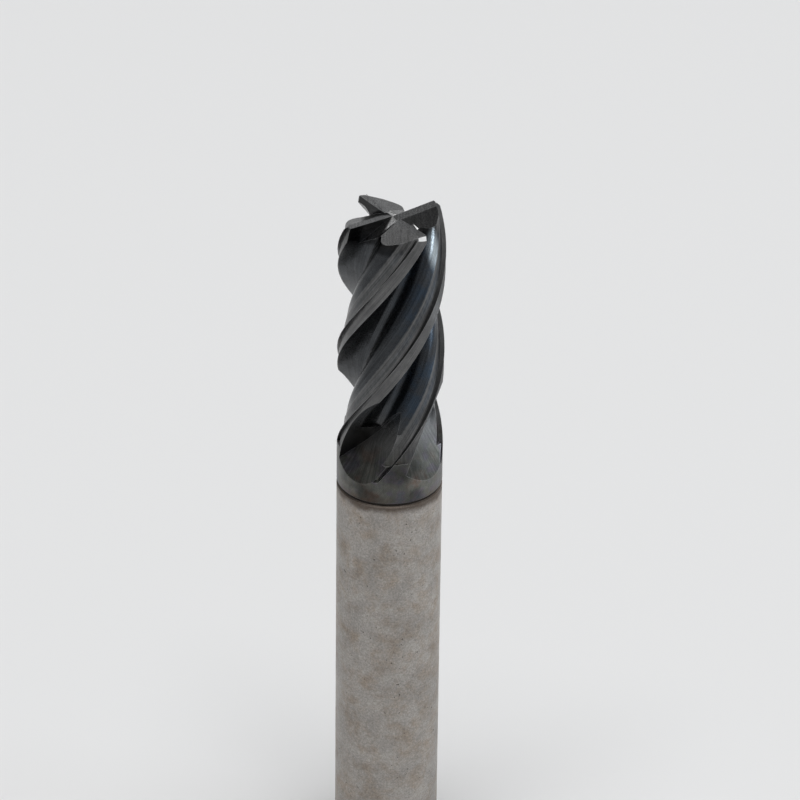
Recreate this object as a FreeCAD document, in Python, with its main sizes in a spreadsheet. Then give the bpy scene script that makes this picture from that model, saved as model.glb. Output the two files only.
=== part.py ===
import FreeCAD, Part
import math
import os
import Sketcher

# Four-flute square end mill: a carbide cutting head brazed on a plain steel shank.
# Millimetres. Origin at the centre of the shank's end face, +Z towards the cutting tip.

V = FreeCAD.Vector
doc = FreeCAD.newDocument("end_mill")

# ---------------------------------------------------------------- driving dimensions
sheet = doc.addObject("Spreadsheet::Sheet", "Sizes")
SIZES = [
    ("tool_dia", 12.0, "cutting and shank diameter"),
    ("overall_len", 83.0, "shank end to cutting tip"),
    ("head_len", 33.87, "carbide head above the joint"),
    ("joint_gap", 0.25, "filler layer between head and shank"),
    ("joint_recess", 0.20, "filler edge below the tool surface"),
    ("edge_break", 0.16, "bevel on both rims of the joint"),
    ("spigot_dia", 6.0, "pin of the head inside the shank"),
    ("spigot_len", 8.0, "pin length below the head"),
    ("spigot_bevel", 0.5, "lead-in bevel on the pin"),
    ("socket_fit", 0.10, "filler thickness around the pin"),
    ("shank_bevel", 0.8, "bevel on the shank end"),
    ("helix_angle", 37.0, "degrees at the tool surface"),
    ("first_edge", 46.6, "first tooth, degrees round the axis at the tip"),
    ("dish_angle", 2.0, "end edges fall towards the axis"),
    ("corner_bevel", 0.32, "bevel on the four corners"),
    ("core_r", 3.15, "radius of the core between the flutes"),
    ("rake_angle", 8.0, "radial rake of the side edges"),
    ("rake_r", 3.6, "hollow of the rake face"),
    ("floor_r", 0.84, "hollow of the flute floor"),
    ("heel_r", 1.32, "round of the heel"),
    ("heel_at", 49.5, "end of the heel round, degrees ahead of the edge"),
    ("heel_out", 4.92, "end of the heel round from the axis"),
    ("heel_line", 127.0, "slope of the flat behind the heel, degrees"),
    ("flute_end", 57.7, "height where the full flute stops"),
    ("land_1", 14.5, "first relief, degrees behind the edge"),
    ("land_1_r", 5.65, "first relief, back edge from the axis"),
    ("land_1_round", 5.2, "round of the first relief"),
    ("land_1_end", 54.35, "height where the first relief stops"),
    ("land_2_start", 15.6, "second relief, front edge in degrees"),
    ("land_2_r", 5.55, "second relief, front edge from the axis"),
    ("land_2", 46.0, "second relief, back edge in degrees"),
    ("land_2_back_r", 5.09, "second relief, back edge from the axis"),
    ("land_2_round", 11.0, "round of the second relief"),
    ("land_2_end", 53.9, "height where the second relief stops"),
    ("land_2_tail", 51.9, "height where the front of the second relief stops"),
    ("end_relief_1", 8.0, "first end relief in degrees"),
    ("end_relief_2", 20.0, "second end relief in degrees"),
    ("end_land", 1.02, "width of the first end relief"),
    ("end_start", 0.30, "end reliefs start this far from the axis"),
    ("end_back_long", 10.1, "long end edges behind the side edges, degrees"),
    ("end_back_short", 5.8, "short end edges behind the side edges, degrees"),
    ("end_ahead_short", 0.24, "short end edges ahead of the centre line"),
    ("gash_fall", 27.0, "fall of the gash floor, degrees"),
    ("gash_floor", 1.10, "width of the gash floor"),
    ("gash_wall", 28.0, "rise of the far wall of the gash, degrees"),
    ("gash_rake", 10.0, "rake of the end edges, degrees"),
    ("gash_in_short", 1.05, "short gashes start this far from the axis"),
    ("wheel_r", 17.45, "wheel-shaped run-out of a flute"),
    ("wheel_taper", 10.0, "fall of the wheel rim towards the heel side, degrees"),
    ("wheel_side", 0.7, "rim edge from the wheel centre, rake side"),
    ("wheel_far", 6.0, "rim edge from the wheel centre, heel side"),
    ("wheel_cone", 27.0, "taper of the rake side, degrees"),
    ("wheel_out", 19.84, "wheel centre from the tool axis"),
    ("wheel_at", 185.9, "wheel centre ahead of the first edge, degrees"),
    ("wheel_down", 21.70, "wheel centre below the tip"),
    ("wheel_yaw", 78.5, "wheel axis ahead of the first edge, degrees"),
    ("wheel_rise", 38.7, "slope of the wheel axis, degrees"),
    ("wheel_roll", 24.2, "slope of the run-out floor, degrees"),
    # derived values
    ("tool_r", "=tool_dia / 2", "tool radius"),
    ("joint_z", "=overall_len - head_len", "under side of the head"),
    ("shank_top", "=joint_z - joint_gap", "top of the shank"),
    ("lead", "=pi * tool_dia / tan(helix_angle)", "lead of the flutes"),
    ("turn", "=360 / lead", "degrees of twist for each millimetre"),
    ("dish", "=(tool_r - corner_bevel) * tan(dish_angle)", "depth of the dished end"),
    ("gash_skew", "=atan(tan(gash_rake) * sin(gash_fall)) / 1 deg", "floor edge behind the end edge"),
    # centre of the rake hollow, then of the floor hollow touching it
    ("rake_cx", "=tool_r - rake_r * sin(rake_angle)", ""),
    ("rake_cy", "=rake_r * cos(rake_angle)", ""),
    ("rake_c", "=sqrt(rake_cx ^ 2 + rake_cy ^ 2)", ""),
    ("floor_c", "=core_r + floor_r", ""),
    ("floor_t", "=(floor_c ^ 2 + rake_c ^ 2 - (rake_r - floor_r) ^ 2) / (2 * floor_c * rake_c)", ""),
    ("floor_a", "=atan(rake_cy / rake_cx) / 1 deg - acos(floor_t) / 1 deg", ""),
    ("floor_cx", "=floor_c * cos(floor_a)", ""),
    ("floor_cy", "=floor_c * sin(floor_a)", ""),
    ("join_1x", "=rake_cx + rake_r * (floor_cx - rake_cx) / (rake_r - floor_r)", ""),
    ("join_1y", "=rake_cy + rake_r * (floor_cy - rake_cy) / (rake_r - floor_r)", ""),
    # centre of the heel round touching the floor hollow and passing the heel point
    ("heel_x", "=heel_out * cos(heel_at)", ""),
    ("heel_y", "=heel_out * sin(heel_at)", ""),
    ("span", "=sqrt((heel_x - floor_cx) ^ 2 + (heel_y - floor_cy) ^ 2)", ""),
    ("along", "=((floor_r + heel_r) ^ 2 - heel_r ^ 2 + span ^ 2) / (2 * span)", ""),
    ("aside", "=sqrt((floor_r + heel_r) ^ 2 - along ^ 2)", ""),
    ("heel_ux", "=(heel_x - floor_cx) / span", ""),
    ("heel_uy", "=(heel_y - floor_cy) / span", ""),
    ("heel_cx", "=floor_cx + along * heel_ux - aside * heel_uy", ""),
    ("heel_cy", "=floor_cy + along * heel_uy + aside * heel_ux", ""),
    ("join_2x", "=floor_cx + floor_r * (heel_cx - floor_cx) / (floor_r + heel_r)", ""),
    ("join_2y", "=floor_cy + floor_r * (heel_cy - floor_cy) / (floor_r + heel_r)", ""),
]
for row, (alias, value, note) in enumerate(SIZES, start=1):
    sheet.set("A%d" % row, alias)
    sheet.set("B%d" % row, str(value))
    sheet.set("C%d" % row, note)
    sheet.setAlias("B%d" % row, alias)
doc.recompute()


# ---------------------------------------------------------------- building helpers
def new_body(name):
    body = doc.addObject("PartDesign::Body", name)
    body.Label = name
    return body


def origin_plane(body, role):
    return next(f for f in body.Origin.OriginFeatures if f.Role == role)


def new_sketch(body, name, role):
    sketch = doc.addObject("Sketcher::SketchObject", name)
    body.addObject(sketch)
    sketch.AttachmentSupport = [(origin_plane(body, role), "")]
    sketch.MapMode = "FlatFace"
    return sketch


def bind(sketch, constraint, formula):
    """Add a constraint and tie its value to a formula over the sheet."""
    number = sketch.addConstraint(constraint)
    sketch.setExpression("Constraints[%d]" % number, formula)


def evaluate(formula):
    """Present value of a formula over the sheet."""
    return float(doc.getObject("Sizes").evalExpression(formula))


def outline(sketch, points, rounds=None):
    """Closed outline through points given as pairs of formulas over the sheet.

    rounds maps the number of a side to (formula of its radius, +1 bulging left or -1 right).
    """
    rounds = rounds or {}
    spots = [V(evaluate(x), evaluate(y), 0) for x, y in points]
    count = len(spots)
    for i in range(count):
        a, b = spots[i], spots[(i + 1) % count]
        if i in rounds:
            formula, side = rounds[i]
            radius = evaluate(formula)
            half = (b - a).Length / 2
            rise = radius - math.sqrt(radius ** 2 - half ** 2)
            across = V(a.y - b.y, b.x - a.x, 0).normalize()
            middle = (a + b) * 0.5 + across * (rise * side)
            first, last = (b, a) if side > 0 else (a, b)
            sketch.addGeometry(Part.Arc(first, middle, last))
        else:
            sketch.addGeometry(Part.LineSegment(a, b))
    ends = []
    for i in range(count):
        side = sketch.Geometry[i]
        forward = side.StartPoint.distanceToPoint(spots[i]) < 1e-6
        ends.append((1, 2) if forward else (2, 1))
    for i in range(count):
        after = (i + 1) % count
        sketch.addConstraint(
            Sketcher.Constraint("Coincident", i, ends[i][1], after, ends[after][0]))
    for i, (x, y) in enumerate(points):
        spot = spots[i]
        bind(sketch, Sketcher.Constraint("DistanceX", -1, 1, i, ends[i][0], spot.x), x)
        bind(sketch, Sketcher.Constraint("DistanceY", -1, 1, i, ends[i][0], spot.y), y)
    for i, (formula, side) in rounds.items():
        bind(sketch, Sketcher.Constraint("Radius", i, evaluate(formula)), formula)


def polar(radius, angle):
    """A point as a pair of formulas from formulas of its radius and angle."""
    return "(%s) * cos(%s)" % (radius, angle), "(%s) * sin(%s)" % (radius, angle)


def turned(body, name, points):
    """Solid of revolution about Z from an outline in the XZ plane."""
    sketch = new_sketch(body, name + "_outline", "XZ_Plane")
    outline(sketch, points)
    solid = doc.addObject("PartDesign::Revolution", name)
    body.addObject(solid)
    solid.Profile = sketch
    solid.ReferenceAxis = (sketch, ["V_Axis"])
    solid.Angle = 360
    return solid


def repeat(body, name, features, count):
    """Polar pattern about Z."""
    pattern = doc.addObject("PartDesign::PolarPattern", name)
    body.addObject(pattern)
    pattern.Originals = features
    pattern.Axis = (origin_line(body, "Z_Axis"), [""])
    pattern.Angle = 360
    pattern.Occurrences = count
    body.Tip = pattern
    return pattern


def origin_line(body, role):
    return next(f for f in body.Origin.OriginFeatures if f.Role == role)


# ---------------------------------------------------------------- cutting head
head = new_body("cutting_head")
top = "Sizes.overall_len"
turned(head, "blank", [
    ("0", "Sizes.joint_z - Sizes.spigot_len"),
    ("Sizes.spigot_dia / 2 - Sizes.spigot_bevel", "Sizes.joint_z - Sizes.spigot_len"),
    ("Sizes.spigot_dia / 2", "Sizes.joint_z - Sizes.spigot_len + Sizes.spigot_bevel"),
    ("Sizes.spigot_dia / 2", "Sizes.joint_z"),
    ("Sizes.tool_r - Sizes.edge_break", "Sizes.joint_z"),
    ("Sizes.tool_r", "Sizes.joint_z + Sizes.edge_break"),
    ("Sizes.tool_r", top + " - Sizes.corner_bevel"),
    ("Sizes.tool_r - Sizes.corner_bevel", top),
    ("0", top + " - Sizes.dish"),
])
doc.recompute()

# one helix of the tool's lead guides every helical cut
guide = doc.addObject("Part::Helix", "lead_guide")
guide.setExpression("Pitch", "Sizes.lead")
guide.setExpression("Radius", "Sizes.tool_r")
guide.setExpression("Height", "Sizes.overall_len + 4")
guide.Placement = FreeCAD.Placement(V(0, 0, 0), FreeCAD.Rotation())
doc.recompute()


def helical_cut(name, start, points, rounds, count=4):
    """Sweep an outline, drawn square to the axis with the edge on +X, up past the tip."""
    sketch = new_sketch(head, name + "_outline", "XY_Plane")
    sketch.setExpression("AttachmentOffset.Base.z", start)
    sketch.setExpression(
        "AttachmentOffset.Rotation.Angle",
        "Sizes.first_edge + (%s - Sizes.overall_len) * Sizes.turn" % start)
    outline(sketch, points, rounds)
    path = new_sketch(head, name + "_path", "XZ_Plane")
    low, high = evaluate(start), evaluate(top + " + 2")
    path.addGeometry(Part.LineSegment(V(0, low, 0), V(0, high, 0)))
    bind(path, Sketcher.Constraint("DistanceX", -1, 1, 0, 1, 0.0), "0")
    bind(path, Sketcher.Constraint("DistanceX", -1, 1, 0, 2, 0.0), "0")
    bind(path, Sketcher.Constraint("DistanceY", -1, 1, 0, 1, low), start)
    bind(path, Sketcher.Constraint("DistanceY", -1, 1, 0, 2, high), top + " + 2")
    cut = doc.addObject("PartDesign::SubtractivePipe", name)
    head.addObject(cut)
    cut.Profile = sketch
    cut.Spine = (path, ["Edge1"])
    cut.AuxiliarySpine = (guide, ["Edge1"])
    cut.Mode = "Auxiliary"
    cut.AuxiliaryCurvilinear = False
    doc.recompute()
    repeat(head, name + "_all", [cut], count)
    doc.recompute()


clear = "Sizes.tool_r + 0.9"
helical_cut("second_relief", "Sizes.land_2_end", [
    polar("Sizes.land_2_r", "-Sizes.land_2_start"),
    polar(clear, "-Sizes.land_2_start"),
    polar(clear, "-Sizes.land_2"),
    polar("Sizes.land_2_back_r", "-Sizes.land_2"),
], {3: ("Sizes.land_2_round", -1)})
helical_cut("second_relief_end", "Sizes.land_2_tail", [
    polar("Sizes.land_2_r", "-Sizes.land_2_start"),
    polar(clear, "-Sizes.land_2_start"),
    polar(clear, "-Sizes.land_2_start - 6"),
    polar("Sizes.land_2_r + 0.1", "-Sizes.land_2_start - 5"),
], {})
helical_cut("first_relief", "Sizes.land_1_end", [
    polar("Sizes.tool_r + 0.06", "4"),
    polar(clear, "4"),
    polar(clear, "-Sizes.land_1 - 1.6"),
    polar("Sizes.land_1_r", "-Sizes.land_1"),
], {3: ("Sizes.land_1_round", -1)})

# ---------------------------------------------------------------- flute run-outs
runout = new_sketch(head, "runout_outline", "XY_Plane")
CENTRE_AT = "(Sizes.first_edge + Sizes.wheel_at)"
runout.setExpression(
    "AttachmentOffset",
    "placement(vector(Sizes.wheel_out * cos(%s); Sizes.wheel_out * sin(%s);"
    " Sizes.overall_len - Sizes.wheel_down);"
    " rotation(Sizes.first_edge + Sizes.wheel_yaw; -Sizes.wheel_rise; Sizes.wheel_roll + 180))"
    % (CENTRE_AT, CENTRE_AT))
outline(runout, [
    ("-Sizes.wheel_far", "0"),
    ("Sizes.wheel_side + 7 * tan(Sizes.wheel_cone)", "0"),
    ("Sizes.wheel_side + 7 * tan(Sizes.wheel_cone)", "Sizes.wheel_r - 7"),
    ("Sizes.wheel_side", "Sizes.wheel_r"),
    ("-Sizes.wheel_far",
     "Sizes.wheel_r - (Sizes.wheel_far + Sizes.wheel_side) * tan(Sizes.wheel_taper)")])
wheel = doc.addObject("PartDesign::Groove", "runout")
head.addObject(wheel)
wheel.Profile = runout
wheel.ReferenceAxis = (runout, ["H_Axis"])
wheel.Angle = 360
wheel.Refine = False
doc.recompute()
repeat(head, "runout_all", [wheel], 4)
doc.recompute()

helical_cut("flute", "Sizes.flute_end", [
    ("Sizes.rake_cx + Sizes.rake_r * cos(80 - Sizes.rake_angle)",
     "Sizes.rake_cy - Sizes.rake_r * sin(80 - Sizes.rake_angle)"),
    ("Sizes.join_1x", "Sizes.join_1y"),
    ("Sizes.join_2x", "Sizes.join_2y"),
    ("Sizes.heel_x", "Sizes.heel_y"),
    ("Sizes.heel_x + 3.2 * cos(Sizes.heel_line)", "Sizes.heel_y + 3.2 * sin(Sizes.heel_line)"),
    polar(clear, "62"),
    polar(clear, "40"),
    polar(clear, "18"),
], {0: ("Sizes.rake_r", 1), 1: ("Sizes.floor_r", 1), 2: ("Sizes.heel_r", -1)})


def radial_sketch(name, angle, tilt, out, ahead, height):
    """Sketch that looks outwards along a spoke of the tool.

    Its x axis points behind the spoke, its y axis up. tilt is the fall of the spoke in degrees,
    out and ahead place its origin, and height is the height of that origin.
    """
    sketch = new_sketch(head, name + "_outline", "YZ_Plane")
    east = "(%s) * cos(%s) - (%s) * sin(%s)" % (out, angle, ahead, angle)
    north = "(%s) * sin(%s) + (%s) * cos(%s)" % (out, angle, ahead, angle)
    sketch.setExpression(
        "AttachmentOffset",
        "placement(vector(%s; %s; %s); rotation(0; %s + 180; -(%s)))"
        % (north, height, east, angle, tilt))
    return sketch


def pocket(name, sketch, length, both_ways=False):
    """Cut an outline along its spoke, then again on the opposite tooth."""
    cut = doc.addObject("PartDesign::Pocket", name)
    head.addObject(cut)
    cut.Profile = sketch
    cut.Type = 0
    cut.Midplane = both_ways
    cut.setExpression("Length", length)
    doc.recompute()
    repeat(head, name + "_both", [cut], 2)
    doc.recompute()


# ---------------------------------------------------------------- end teeth
END_TEETH = [
    ("long", "Sizes.first_edge - Sizes.end_back_long", "0", "0"),
    ("short", "Sizes.first_edge + 90 - Sizes.end_back_short", "Sizes.end_ahead_short",
     "Sizes.gash_in_short"),
]
APEX = "Sizes.overall_len - Sizes.dish"
DROP_1 = "-Sizes.end_land * tan(Sizes.end_relief_1)"
DROP_2 = DROP_1 + " - (6.6 - Sizes.end_land) * tan(Sizes.end_relief_2)"
for kind, edge, ahead, inner in END_TEETH:
    relief = radial_sketch(
        "end_relief_" + kind, edge, "-Sizes.dish_angle", "Sizes.end_start", ahead,
        APEX + " + Sizes.end_start * tan(Sizes.dish_angle)")
    outline(relief, [
        ("0", "0"), ("Sizes.end_land", DROP_1), ("6.6", DROP_2), ("6.6", "1.5"), ("0", "1.5")])
    pocket("end_relief_" + kind, relief, "Sizes.tool_r + 1")
centre = radial_sketch("centre_relief", END_TEETH[0][1], "-Sizes.dish_angle", "0", "0", APEX)
outline(centre, [("0", "0"), ("Sizes.end_land", DROP_1), ("Sizes.end_land", "1"), ("0", "1")])
pocket("centre_relief", centre, "Sizes.end_start + 0.2")

for kind, edge, ahead, inner in END_TEETH:
    gash = radial_sketch(
        "gash_" + kind, "(%s - Sizes.gash_skew)" % edge, "Sizes.gash_fall", inner, ahead,
        APEX + " + %s * tan(Sizes.dish_angle)" % inner)
    outline(gash, [
        ("0", "0"),
        ("-6 * tan(Sizes.gash_rake)", "6"),
        ("-Sizes.gash_floor - 6 / tan(Sizes.gash_wall)", "6"),
        ("-Sizes.gash_floor", "0")])
    pocket("gash_" + kind, gash, "18", both_ways=True)

# ---------------------------------------------------------------- filler of the brazed joint
filler = new_body("braze_filler")
SOCKET_R = "Sizes.spigot_dia / 2 + Sizes.socket_fit"
SOCKET_Z = "Sizes.joint_z - Sizes.spigot_len - Sizes.socket_fit"
turned(filler, "joint_layer", [
    ("0", SOCKET_Z),
    (SOCKET_R, SOCKET_Z),
    (SOCKET_R, "Sizes.shank_top"),
    ("Sizes.tool_r - Sizes.joint_recess", "Sizes.shank_top"),
    ("Sizes.tool_r - Sizes.joint_recess", "Sizes.joint_z"),
    ("Sizes.spigot_dia / 2", "Sizes.joint_z"),
    ("Sizes.spigot_dia / 2", "Sizes.joint_z - Sizes.spigot_len + Sizes.spigot_bevel"),
    ("Sizes.spigot_dia / 2 - Sizes.spigot_bevel", "Sizes.joint_z - Sizes.spigot_len"),
    ("0", "Sizes.joint_z - Sizes.spigot_len"),
])

# ---------------------------------------------------------------- shank
shank = new_body("shank")
turned(shank, "shank_bar", [
    ("0", "0"),
    ("Sizes.tool_r - Sizes.shank_bevel", "0"),
    ("Sizes.tool_r", "Sizes.shank_bevel"),
    ("Sizes.tool_r", "Sizes.shank_top - Sizes.edge_break"),
    ("Sizes.tool_r - Sizes.edge_break", "Sizes.shank_top"),
    (SOCKET_R, "Sizes.shank_top"),
    (SOCKET_R, SOCKET_Z),
    ("0", SOCKET_Z),
])
doc.recompute()


# ---------------------------------------------------------------- output
def save(body):
    """Check one sub-part and write its file."""
    for item in body.Group:
        for word in ("Invalid", "Error"):
            if word in item.State:
                raise RuntimeError("%s is %s" % (item.Name, item.State))
    shape = body.Shape
    if shape.isNull() or not shape.isValid():
        raise RuntimeError("%s has no valid shape" % body.Label)
    shape.exportStep(os.path.join("parts", body.Label + ".step"))
    print(body.Label, len(shape.Solids), round(shape.Volume, 3), shape.BoundBox)


os.makedirs("parts", exist_ok=True)
doc.recompute()
for body in (shank, filler, head):
    save(body)
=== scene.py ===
import math

import bpy
from mathutils import Matrix, Vector


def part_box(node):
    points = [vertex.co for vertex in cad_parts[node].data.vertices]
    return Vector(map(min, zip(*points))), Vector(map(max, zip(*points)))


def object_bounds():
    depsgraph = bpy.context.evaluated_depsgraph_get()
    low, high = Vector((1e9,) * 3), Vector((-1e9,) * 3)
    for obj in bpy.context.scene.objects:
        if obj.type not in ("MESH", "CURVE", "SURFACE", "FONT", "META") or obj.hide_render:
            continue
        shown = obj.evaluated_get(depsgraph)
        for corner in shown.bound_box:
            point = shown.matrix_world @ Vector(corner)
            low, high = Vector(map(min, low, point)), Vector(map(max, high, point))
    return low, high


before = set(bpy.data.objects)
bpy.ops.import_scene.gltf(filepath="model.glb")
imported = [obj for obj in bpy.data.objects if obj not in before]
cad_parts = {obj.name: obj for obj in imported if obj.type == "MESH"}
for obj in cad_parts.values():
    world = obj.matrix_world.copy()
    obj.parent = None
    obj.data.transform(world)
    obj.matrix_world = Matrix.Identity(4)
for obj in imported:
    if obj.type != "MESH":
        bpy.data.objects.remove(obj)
cad_box = [list(corner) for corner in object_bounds()]

# ---------------------------------------------------------------- the tool
# Metres. The tool stands on the origin with its tip at LENGTH.
DIA = cad_box[1][0] - cad_box[0][0]
LENGTH = cad_box[1][2]
BEVEL_DEPTH = 0.00032           # the corner bevels end this far below the tip
HELIX_DEG = 37.0
LEAD = math.pi * DIA / math.tan(math.radians(HELIX_DEG))

# The shaders work in millimetres and degrees.
MM = 1000.0
TOP = LENGTH * MM               # height of the tip
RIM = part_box("braze_filler")[1].z * MM          # height of the head's lower rim
RADIUS = DIA * MM / 2
TURN = 360.0 / (LEAD * MM)      # degrees of helix per millimetre of height
FIRST_EDGE = 46.6               # from +X to a side edge at the tip
PITCH = 90.0                    # between the side edges

# Painted highlights near the tip, a white glint on one corner and a reflection streak in the flute
# beside it: centre and reach in millimetres.
GLINT_PLACE = (3.55, -4.55, TOP - 0.45), (1.15, 1.0, 0.32)
REFLECTION_PLACE = (4.7, -1.6, TOP - 3.4), (1.3, 1.5, 3.4)

# ---------------------------------------------------------------- the view
# The camera looks at a point on the tool axis from the front and above.
AIM = Vector((0.0, 0.0, LENGTH - BEVEL_DEPTH - 1.4 * DIA))
DISTANCE = 44.52 * DIA
ELEVATION = math.radians(30.04)
ROLL = math.radians(-0.632)
RIGHT_OF_AIM = math.radians(0.11035)            # the camera points a little past the aim
BELOW_AIM = math.radians(0.604926)
LENS_MM = 215.19
SENSOR_MM = 36.0
CLIP = (0.01, 20.0)
FLOOR_HALF = 4.0                # half the side of the floor

# ---------------------------------------------------------------- light
# Azimuth and elevation in degrees, seen from the cutting head. Azimuth is counted from +X to +Y.
LIGHTS = (
    dict(name="right_window", azimuth=-8, elevation=5, distance=1.6, width=0.6, height=0.24,
         power=7.0, colour=(0.86, 0.93, 1.0)),
    dict(name="back_left", azimuth=130, elevation=43, distance=1.6, width=0.45, height=0.40,
         power=1.3),
    dict(name="ceiling", azimuth=-100, elevation=80, distance=1.7, width=1.3, height=0.8,
         power=21.5),
    dict(name="back_right", azimuth=62, elevation=14, distance=1.6, width=0.5, height=0.3,
         power=3.0))
HORIZON_LIGHT = 0.54
ZENITH_LIGHT = 0.09
LEFT_SHARE = 0.55               # the horizon's brightness at the far left, as a share of the right
SKY_RISE = (0.66, 0.80)         # upward part of the direction: the sky darkens along this span
SKY_SIDE = (-0.8, 0.6)          # rightward part of the direction: it brightens along this span
SKY_TINT = (0.97, 0.985, 1.0)

# ---------------------------------------------------------------- wear and bumps
# Metres: reach of the wear on the edges, and depth of the bumps.
CARBIDE_WEAR = 0.00009
STEEL_WEAR = 0.00012
LINE_DEPTH = 0.000035
GRAIN_DEPTH = 0.000010
STEEL_DEPTH = 0.00003
FILLER_DEPTH = 0.00005
WEAR_RAYS = 6
SHARP = (0.985, 0.90)           # agreement of a face's normal with its rounded one: flat, sharp
NOISE_SPAN = (0.25, 0.75)       # the values of noise lie mostly between these

# ---------------------------------------------------------------- colours
# colours of the painted corner glint and the painted reflection streak
GLINT_WHITE = (0.97, 0.97, 0.96, 1)
REFLECTION_GREY = (0.42, 0.47, 0.50, 1)
WORN_CARBIDE = (0.42, 0.42, 0.43, 1)
WORN_STEEL = (0.60, 0.58, 0.55, 1)
WARM_STEEL = (1.0, 0.945, 0.885, 1)
# painted reflection tint of the flutes
REFLECTION_BLUE = (0.55, 0.74, 1.0, 1)
STAIN_BROWN = (0.84, 0.72, 0.60, 1)
HEAD_SOOT = (0.07, 0.045, 0.03, 1)
SHANK_SOOT = (0.060, 0.040, 0.028, 1)
PIT_BLACK = (0.045, 0.032, 0.025, 1)
FILLER_DARK = (0.006, 0.005, 0.004, 1)
FILLER_LIGHT = (0.030, 0.021, 0.015, 1)
FLOOR_GREY = (0.80, 0.80, 0.80, 1)
HEAT_TINTS = ((0.36, (1.0, 0.80, 0.68, 1)), (0.43, (1.0, 0.95, 0.86, 1)),
              (0.50, (0.92, 0.95, 0.86, 1)), (0.57, (0.94, 0.86, 0.95, 1)),
              (0.64, (0.84, 0.91, 1.0, 1)))

# ---------------------------------------------------------------- regions
def limits(base, absent, full):
    """The two limits of a region, counted from a base."""
    return base + absent, base + full


# Each is a pair of limits: the region is absent at the first and full at the second.
# Heights, radii, x and y are in millimetres, angles in degrees behind the side edge, and slopes
# are the upward part of the face normal.

# the land, which is both reliefs behind a side edge, and the first of them
LAND_ANGLE = (42.0, 40.0)
LAND_RADIUS = limits(RADIUS, -0.16, -0.12)
LAND_FALL = 0.022               # millimetres by which the land drops per degree behind the edge
FIRST_ANGLE = (15.3, 14.5)
# the flutes' painted blue reflection, bluest on the right where the bluish light is
FLUTE_BOTTOM = limits(RIM, 7.87, 10.87)
FLUTE_TOP = limits(TOP, -1.20, -2.20)
REFLECTION_BLUE_X = (-1.0, 3.0)
# the end faces, their first reliefs, the gashes, and the steep faces between them; their
# brightness is painted light and shade by slope, lighter on the reliefs and gashes, near black on
# the steep faces
END_HEIGHT = limits(TOP, -2.50, -1.70)
END_SLOPE = (0.80, 0.90)
RELIEF_SLOPE = (0.965, 0.98)
GASH_HEIGHT = limits(TOP, -3.00, -2.60)
GASH_LEAST = (0.72, 0.76)
GASH_MOST = (0.925, 0.905)
STEEP_HEIGHT = limits(TOP, -2.80, -2.20)
STEEP_SLOPE = (0.74, 0.70)
# the top of the land on the left (-X) side, painted darker as shade
LEFT_SHADE_HEIGHT = limits(TOP, -5.00, -3.50)
LEFT_SHADE_X = (-4.0, -4.6)
# the part below the flutes: run-outs, the plain cylinder, and its front, which is painted darker
# as shade
LOW_HEIGHT = limits(RIM, 8.47, 6.07)
CYLINDER_RADIUS = limits(RADIUS, -0.07, -0.03)
FRONT_SHADE_X = (3.2, 1.5)
FRONT_SHADE_Y = (-3.5, -5.6)
# the run-outs' walls that face along the turn, painted dark as shadow, and their level ledges,
# painted bright as a highlight
WALL_TURN = (0.55, 0.75)        # part of the normal that points along the turn
WALL_HEIGHT = limits(RIM, 11.87, 7.87)
WALL_SLOPE = (0.75, 0.65)
LEDGE_HEIGHT = limits(RIM, 10.87, 10.37)
LEDGE_SLOPE = (0.85, 0.95)
LEDGE_RADIUS = limits(RADIUS, -1.00, -0.70)
# heat tints, patches and soot of the head
TINT_HEIGHT = limits(RIM, 7.87, 3.87)
PATCH_HEIGHT = limits(RIM, 6.87, 3.87)
HEAD_SOOT_HEIGHT = limits(RIM, 1.47, 0.07)
# soot of the shank, and the change from the dull upper rim to the bright lower edge
SHANK_SOOT_HEIGHT = limits(RIM, -1.53, -0.53)
SOOT_RAGGED = 2.4               # millimetres by which the soot's border wanders
RIM_HEIGHT = limits(RIM, -2.13, -3.13)

# Brightness of the coating in each region; the end faces, gashes, steep faces, left land, cylinder
# front, walls and ledges hold painted light and shade.
TONE = {"flute": 0.055, "land": 0.118, "first relief": 0.128, "steep face": 0.020,
        "end face": 0.095, "end relief": 0.19, "gash": 0.17, "shaded left land": 0.055, "low": 0.074,
        "cylinder": 0.125, "cylinder front": 0.075, "shadowed_wall": 0.022, "lit_ledge": 0.55}


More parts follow.
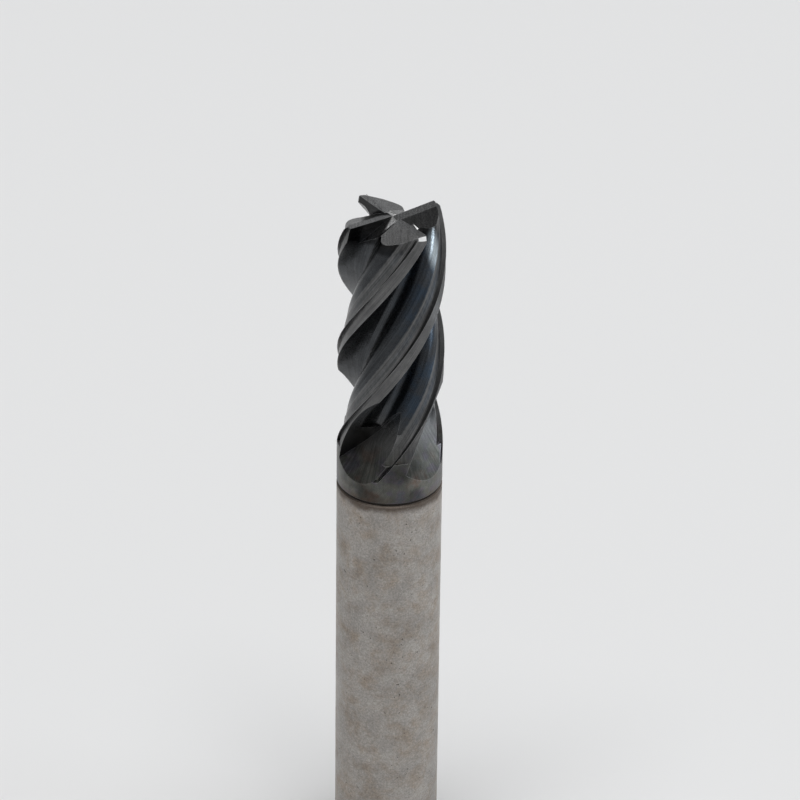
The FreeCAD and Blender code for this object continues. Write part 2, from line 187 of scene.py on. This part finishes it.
# ---------------------------------------------------------------- node helpers
class Nodes:
    """Fills a node tree with short calls, most of which return an output socket."""

    def __init__(self, tree):
        self.tree = tree

    def put(self, node, inputs):
        """Links the given sockets and sets the given values of a node's inputs."""
        for key, value in inputs.items():
            if isinstance(value, bpy.types.NodeSocket):
                self.tree.links.new(value, node.inputs[key])
            else:
                node.inputs[key].default_value = value
        return node

    def add(self, kind, inputs=None, out=0, **settings):
        node = self.tree.nodes.new(kind)
        for key, value in settings.items():
            setattr(node, key, value)
        return self.put(node, inputs or {}).outputs[out]

    def math(self, operation, a, b=0.0, c=0.0):
        return self.add("ShaderNodeMath", {0: a, 1: b, 2: c}, operation=operation)

    def times(self, *factors):
        product = factors[0]
        for factor in factors[1:]:
            product = self.math("MULTIPLY", product, factor)
        return product

    def plus(self, a, b):
        return self.math("ADD", a, b)

    def minus(self, a, b):
        return self.math("SUBTRACT", a, b)

    def without(self, mask):
        return self.math("SUBTRACT", 1.0, mask)

    def step(self, value, low, high, to_low=0.0, to_high=1.0):
        """Smooth change from to_low to to_high as value runs from low to high."""
        return self.add("ShaderNodeMapRange", {0: value, 1: low, 2: high, 3: to_low, 4: to_high},
                        interpolation_type="SMOOTHSTEP")

    def vector(self, x, y, z):
        return self.add("ShaderNodeCombineXYZ", {0: x, 1: y, 2: z})

    def split(self, vector):
        return self.put(self.tree.nodes.new("ShaderNodeSeparateXYZ"), {0: vector}).outputs

    def grey(self, level):
        return self.add("ShaderNodeCombineColor", {0: level, 1: level, 2: level})

    def noise(self, vector, detail, rough, seed, scale=1.0):
        return self.add(
            "ShaderNodeTexNoise",
            {"Vector": vector, "W": seed, "Scale": scale, "Detail": detail, "Roughness": rough},
            noise_dimensions="4D")

    def mix(self, factor, a, b, blend="MIX"):
        """Mix of two colours."""
        return self.add("ShaderNodeMix", {0: factor, 6: a, 7: b}, out=2,
                        data_type="RGBA", blend_type=blend)

    def blend(self, factor, a, b):
        """Mix of two numbers."""
        return self.add("ShaderNodeMix", {0: factor, 2: a, 3: b}, data_type="FLOAT")

    def bump(self, height, distance, strength, **normal):
        return self.add("ShaderNodeBump", {"Height": height, "Distance": distance,
                                           "Strength": strength, **normal})

    def surface(self, **inputs):
        names = {key.replace("_", " "): value for key, value in inputs.items()}
        shader = self.add("ShaderNodeBsdfPrincipled", names)
        self.put(self.tree.nodes.new("ShaderNodeOutputMaterial"), {0: shader})


def new_material(name):
    """An empty material and the helper that fills it."""
    material = bpy.data.materials.new(name)
    material.use_nodes = True
    material.node_tree.nodes.clear()
    return material, Nodes(material.node_tree)


def millimetres(n):
    """Place on the tool in millimetres, as a vector and as three numbers."""
    here = n.add("ShaderNodeNewGeometry")
    place = n.add("ShaderNodeVectorMath", {0: here, "Scale": MM}, operation="SCALE")
    x, y, z = n.split(place)
    return place, x, y, z


def bearing(n, x, y):
    """Degrees from +X towards +Y."""
    return n.times(n.math("ARCTAN2", y, x), 180 / math.pi)


def ellipsoid(n, place, centre, reach):
    """0 at the centre of an ellipsoid, 1 on its skin."""
    offset = n.add("ShaderNodeVectorMath", {0: place, 1: centre}, operation="SUBTRACT")
    share = n.add("ShaderNodeVectorMath", {0: offset, 1: reach}, operation="DIVIDE")
    return n.add("ShaderNodeVectorMath", {0: share}, out=1, operation="LENGTH")


def edge_wear(n, width, normal):
    """1 on sharp edges, 0 elsewhere, from how far the rounded normal turns off the flat one."""
    soft = n.add("ShaderNodeBevel", {"Radius": width}, samples=WEAR_RAYS)
    facing = n.add("ShaderNodeVectorMath", {0: soft, 1: normal}, out=1, operation="DOT_PRODUCT")
    return n.step(facing, *SHARP)


# ---------------------------------------------------------------- materials
def coating():
    """Dark coated carbide with ground lands, heat tints near the joint, bright worn edges, and
    painted highlights, reflections and shade at fixed places.
    """
    material, n = new_material("dark_coating")
    place, x, y, z = millimetres(n)
    radius = n.math("SQRT", n.plus(n.times(x, x), n.times(y, y)))
    degrees = bearing(n, x, y)
    normal = n.add("ShaderNodeNewGeometry", out=1)
    facing_x, facing_y, slope = n.split(normal)

    # degrees ahead of and behind the nearest side edges
    twist = n.times(n.minus(z, TOP), TURN)
    round_edge = n.minus(n.minus(degrees, twist), FIRST_EDGE)
    ahead = n.math("FLOORED_MODULO", round_edge, PITCH)
    behind = n.minus(PITCH, ahead)
    tooth = n.math("FLOOR", n.math("DIVIDE", round_edge, PITCH))

    # regions
    outer = n.step(n.math("MULTIPLY_ADD", behind, LAND_FALL, radius), *LAND_RADIUS)
    land = n.times(n.step(behind, *LAND_ANGLE), outer)
    first = n.times(n.step(behind, *FIRST_ANGLE), land)
    hollow = n.without(land)
    flute = n.times(hollow, n.step(z, *FLUTE_BOTTOM), n.step(z, *FLUTE_TOP))
    # brightness of the end faces, reliefs and gashes by slope is painted light; the end-face mask
    # also picks the cross grinding lines
    end_face = n.times(n.step(slope, *END_SLOPE), n.step(z, *END_HEIGHT))
    end_relief = n.times(end_face, n.step(slope, *RELIEF_SLOPE))
    gash = n.times(n.step(slope, *GASH_LEAST), n.step(slope, *GASH_MOST), n.step(z, *GASH_HEIGHT))
    # painted shade on the steep faces near the tip
    shaded_steep = n.times(hollow, n.step(z, *STEEP_HEIGHT), n.step(slope, *STEEP_SLOPE))
    # painted shade on the top of the land at the left
    shaded_left_land = n.times(n.step(x, *LEFT_SHADE_X), n.step(z, *LEFT_SHADE_HEIGHT), land)
    low = n.step(z, *LOW_HEIGHT)
    cylinder = n.times(n.step(radius, *CYLINDER_RADIUS), low)
    # painted shade on the front of the plain cylinder
    shaded_front = n.times(n.step(y, *FRONT_SHADE_Y), n.step(x, *FRONT_SHADE_X))
    across = n.minus(n.times(x, facing_y), n.times(y, facing_x))
    # painted shadow on the run-outs' walls
    shadowed_wall = n.times(n.step(n.math("DIVIDE", across, radius), *WALL_TURN),
                   n.step(z, *WALL_HEIGHT), n.step(slope, *WALL_SLOPE))
    # painted highlight on the level ledges
    lit_ledge = n.times(n.step(slope, *LEDGE_SLOPE), n.step(z, *LEDGE_HEIGHT),
                    n.step(radius, *LEDGE_RADIUS))

    # grinding lines follow the helix, on the end faces and run-outs they run across
    helix_lines = n.noise(n.vector(n.times(ahead, 0.55), n.times(z, 0.10), tooth),
                          detail=5.0, rough=0.68, seed=1.0)
    fine_lines = n.noise(n.vector(n.times(ahead, 1.7), n.times(z, 0.35), tooth),
                         detail=3.0, rough=0.6, seed=7.0)
    spoke_lines = n.noise(n.vector(n.times(degrees, 0.40), n.times(z, 0.16), 3.0),
                          detail=5.0, rough=0.7, seed=2.0)
    cross_lines = n.noise(n.vector(n.times(x, 5.0), n.times(y, 0.4), z),
                          detail=4.0, rough=0.7, seed=4.0)
    lines = n.blend(end_face, n.blend(low, helix_lines, spoke_lines), cross_lines)
    cloud = n.noise(place, scale=0.55, detail=4.0, rough=0.6, seed=5.0)
    grain = n.noise(place, scale=9.0, detail=4.0, rough=0.75, seed=6.0)

    # brightness of the coating, region by region, with painted light and shade on the end faces,
    # steep faces, left land and cylinder front, then its unevenness
    tone = n.blend(land, TONE["flute"], TONE["land"])
    for region, name in ((first, "first relief"), (shaded_steep, "steep face"),
                         (end_face, "end face"), (end_relief, "end relief"), (gash, "gash"),
                         (shaded_left_land, "shaded left land"), (low, "low")):
        tone = n.blend(region, tone, TONE[name])
    # the cylinder's front gets a painted shade
    tone = n.blend(cylinder, tone, n.blend(shaded_front, TONE["cylinder"], TONE["cylinder front"]))
    shade = n.times(n.step(lines, *NOISE_SPAN, -0.38, 0.40), n.blend(cylinder, 1.0, 0.25))
    tone = n.times(tone, n.plus(shade, 1.0))
    # painted shadow on the walls and painted highlight on the ledges, over the unevenness
    for region, name in ((shadowed_wall, "shadowed_wall"), (lit_ledge, "lit_ledge")):
        tone = n.blend(region, tone, TONE[name])
    tone = n.times(tone, n.step(fine_lines, *NOISE_SPAN, 0.85, 1.15),
                   n.step(cloud, 0.30, 0.70, 0.84, 1.14), n.step(grain, *NOISE_SPAN, 0.80, 1.20))
    colour = n.grey(tone)

    # painted reflection: a blue tint on the flutes, bluest on the right
    cloudy = n.step(cloud, 0.35, 0.6, 0.35, 1.0)
    blue_reflection = n.times(flute, n.blend(n.step(x, *REFLECTION_BLUE_X), 0.25, cloudy))
    colour = n.mix(blue_reflection, colour, REFLECTION_BLUE, "MULTIPLY")

    # brown, purple and green tints, light and dark patches, and soot near the joint
    tint = n.add("ShaderNodeValToRGB",
                 {0: n.noise(place, scale=0.42, detail=3.0, rough=0.6, seed=11.0)})
    stops = tint.node.color_ramp.elements
    for stop, (position, shade) in zip((stops[0], stops[-1]), (HEAT_TINTS[0], HEAT_TINTS[-1])):
        stop.position, stop.color = position, shade
    for position, shade in HEAT_TINTS[1:-1]:
        stops.new(position).color = shade
    colour = n.mix(n.step(z, *TINT_HEIGHT), colour, tint, "MULTIPLY")
    patch = n.step(n.noise(place, scale=0.30, detail=3.0, rough=0.55, seed=41.0),
                   0.38, 0.62, 0.62, 1.25)
    patch = n.blend(n.step(z, *PATCH_HEIGHT), 1.0, patch)
    colour = n.mix(1.0, colour, n.grey(patch), "MULTIPLY")
    soot = n.times(n.step(z, *HEAD_SOOT_HEIGHT), n.step(cloud, 0.42, 0.62))
    colour = n.mix(n.times(soot, 0.5), colour, HEAD_SOOT)

    # painted highlight: a white glint on one corner, and a painted reflection streak in the flute
    # beside it
    glint = n.step(ellipsoid(n, place, *GLINT_PLACE), 1.0, 0.7)
    colour = n.mix(glint, colour, GLINT_WHITE)
    reflection = n.step(ellipsoid(n, place, *REFLECTION_PLACE), 1.0, 0.15)
    reflection = n.times(reflection, n.step(lines, 0.30, 0.60, 0.35, 1.0), hollow)
    colour = n.mix(reflection, colour, REFLECTION_GREY)

    # worn, uncoated metal shows on the edges
    wear = edge_wear(n, CARBIDE_WEAR, normal)
    wear = n.times(wear, n.step(grain, 0.30, 0.60, 0.35, 1.0), 0.45)
    colour = n.mix(wear, colour, WORN_CARBIDE)

    rough = n.plus(n.blend(land, 0.27, 0.33), n.step(grain, 0.2, 0.8, -0.04, 0.07))
    rough = n.blend(low, rough, 0.40)
    relief = n.plus(n.times(lines, 0.7), n.times(fine_lines, 0.3))
    skin = n.bump(grain, GRAIN_DEPTH, 0.5, Normal=n.bump(relief, LINE_DEPTH, 0.55))
    n.surface(Base_Color=colour, Metallic=1.0, Roughness=rough, Normal=skin)
    return material


def steel():
    """Ground steel with fine turning lines, brown stains, pits and a sooty rim at the joint."""
    material, n = new_material("ground_steel")
    place, x, y, z = millimetres(n)
    normal = n.add("ShaderNodeNewGeometry", out=1)
    rings = n.noise(n.vector(n.times(bearing(n, x, y), 0.012), 0.0, n.times(z, 3.2)),
                    detail=4.0, rough=0.7, seed=1.0)
    cloud = n.noise(place, scale=0.32, detail=5.0, rough=0.62, seed=3.0)
    grain = n.noise(place, scale=7.0, detail=4.0, rough=0.8, seed=8.0)
    speckle = n.noise(place, scale=4.0, detail=2.0, rough=0.6, seed=51.0)
    tone = n.times(n.step(cloud, 0.28, 0.72, 0.300, 0.395),
                   n.step(grain, *NOISE_SPAN, 0.74, 1.24), n.step(rings, *NOISE_SPAN, 0.96, 1.04),
                   n.step(speckle, 0.30, 0.70, 0.86, 1.13))
    colour = n.mix(1.0, n.grey(tone), WARM_STEEL, "MULTIPLY")

    stain = n.step(n.noise(place, scale=0.40, detail=5.0, rough=0.72, seed=21.0), 0.40, 0.70)
    colour = n.mix(n.times(stain, 0.70), colour, STAIN_BROWN, "MULTIPLY")
    pits = n.step(n.noise(place, scale=2.6, detail=2.0, rough=0.5, seed=31.0), 0.69, 0.74)
    colour = n.mix(n.times(pits, 0.8), colour, PIT_BLACK)
    ragged = n.plus(z, n.times(n.minus(cloud, 0.5), SOOT_RAGGED))
    colour = n.mix(n.times(n.step(ragged, *SHANK_SOOT_HEIGHT), 0.80), colour, SHANK_SOOT)
    wear = n.times(edge_wear(n, STEEL_WEAR, normal), n.step(z, *RIM_HEIGHT, 0.12, 0.55))
    colour = n.mix(wear, colour, WORN_STEEL)

    rough = n.plus(n.step(grain, 0.2, 0.8, 0.36, 0.52), n.times(stain, 0.10))
    height = n.plus(n.times(rings, 0.3), n.times(grain, 0.7))
    height = n.minus(height, n.times(pits, 1.2))
    n.surface(Base_Color=colour, Metallic=1.0, Roughness=rough,
              Normal=n.bump(height, STEEL_DEPTH, 0.6))
    return material


def filler():
    """Dull, dark brazing filler with an uneven skin."""
    material, n = new_material("dark_filler")
    skin = n.noise(millimetres(n)[0], scale=3.0, detail=4.0, rough=0.7, seed=2.0)
    n.surface(Base_Color=n.mix(skin, FILLER_DARK, FILLER_LIGHT), Metallic=0.6,
              Roughness=n.step(skin, 0.3, 0.7, 0.45, 0.70),
              Normal=n.bump(skin, FILLER_DEPTH, 0.7))
    return material


def give(node, material):
    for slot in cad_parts[node].material_slots:
        slot.material = material


# ---------------------------------------------------------------- floor, light and camera
def make_stage():
    material, n = new_material("pale_floor")
    n.surface(Base_Color=FLOOR_GREY, Roughness=0.9)
    mesh = bpy.data.meshes.new("floor")
    corners = [(x * FLOOR_HALF, y * FLOOR_HALF, 0)
               for x, y in ((-1, -1), (1, -1), (1, 1), (-1, 1))]
    mesh.from_pydata(corners, [], [(0, 1, 2, 3)])
    mesh.materials.append(material)
    floor = bpy.data.objects.new("floor", mesh)
    bpy.context.scene.collection.objects.link(floor)


def make_light(name, azimuth, elevation, distance, width, height, power, colour=(1, 1, 1)):
    """Rectangular light that faces the cutting head."""
    data = bpy.data.lights.new(name, "AREA")
    data.shape = "RECTANGLE"
    data.size = width
    data.size_y = height
    data.energy = power
    data.color = colour
    lamp = bpy.data.objects.new(name, data)
    a, e = math.radians(azimuth), math.radians(elevation)
    way = Vector((math.cos(a) * math.cos(e), math.sin(a) * math.cos(e), math.sin(e)))
    lamp.location = AIM + way * distance
    lamp.rotation_mode = "QUATERNION"
    lamp.rotation_quaternion = way.to_track_quat("Z", "Y")
    bpy.context.scene.collection.objects.link(lamp)


def make_world():
    """Bright band near the horizon, a darker ceiling, and less light from the left."""
    world = bpy.data.worlds.new("studio")
    bpy.context.scene.world = world
    world.use_nodes = True
    n = Nodes(world.node_tree)
    way = n.split(n.add("ShaderNodeTexCoord"))
    side = n.step(way[0], *SKY_SIDE, LEFT_SHARE, 1.0)
    level = n.blend(n.step(way[2], *SKY_RISE), n.times(side, HORIZON_LIGHT), ZENITH_LIGHT)
    colour = n.add("ShaderNodeCombineColor",
                   {channel: n.times(level, share) for channel, share in enumerate(SKY_TINT)})
    n.put(world.node_tree.nodes["Background"], {"Color": colour, "Strength": 1.0})


def make_camera():
    data = bpy.data.cameras.new("camera")
    data.sensor_width = SENSOR_MM
    data.lens = LENS_MM
    data.clip_start, data.clip_end = CLIP
    camera = bpy.data.objects.new("camera", data)
    ce, se = math.cos(ELEVATION), math.sin(ELEVATION)
    right, up, back = Vector((1, 0, 0)), Vector((0, se, ce)), Vector((0, -ce, se))
    level = Matrix((right, up, back)).transposed()
    aim = (Matrix.Rotation(RIGHT_OF_AIM, 3, "Y") @ Matrix.Rotation(BELOW_AIM, 3, "X")
           @ Matrix.Rotation(ROLL, 3, "Z"))
    pose = (level @ aim.transposed()).to_4x4()
    pose.translation = AIM + back * DISTANCE
    camera.matrix_world = pose
    bpy.context.scene.collection.objects.link(camera)
    bpy.context.scene.camera = camera


give("cutting_head", coating())
give("shank", steel())
give("braze_filler", filler())
make_stage()
make_world()
for light in LIGHTS:
    make_light(**light)
make_camera()
bpy.context.scene.view_settings.view_transform = "Standard"
